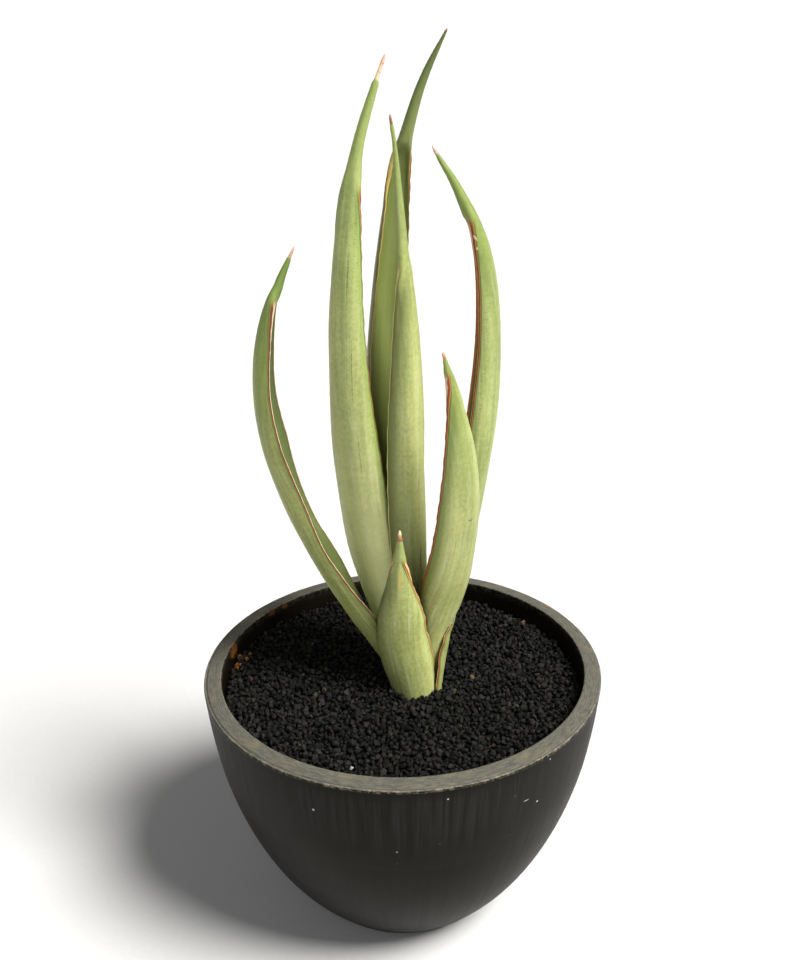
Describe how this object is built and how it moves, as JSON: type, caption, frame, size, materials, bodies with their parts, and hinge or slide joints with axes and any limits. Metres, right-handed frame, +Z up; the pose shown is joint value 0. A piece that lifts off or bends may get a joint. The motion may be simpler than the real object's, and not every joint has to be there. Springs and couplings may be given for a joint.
{
  "type": "potted plant",
  "caption": "Deep round bowl of coarse dark grit holding a clump of upright, outward-bowed, channelled succulent leaves with coloured margins and hard pointed tips.",
  "frame": {"origin": "centre of the bowl's foot, on the plane it stands on", "axes": "+Z up along the bowl's axis; -Y is the side with the short front leaf; +X is the side of the two leaves on the right"},
  "size_m": [0.16, 0.16, 0.3516],
  "materials": {
    "pot_black": "satin",
    "lava_grit": "matte",
    "leaf_green": "satin"
  },
  "bodies": {
    "root": {"pot": "pot_black", "substrate": "lava_grit", "leaf_front_short": "leaf_green", "leaf_right": "leaf_green", "leaf_right_short": "leaf_green", "leaf_left": "leaf_green", "leaf_tall_left": "leaf_green", "leaf_centre": "leaf_green", "leaf_tall_back": "leaf_green"}
  },
  "joints": []
}
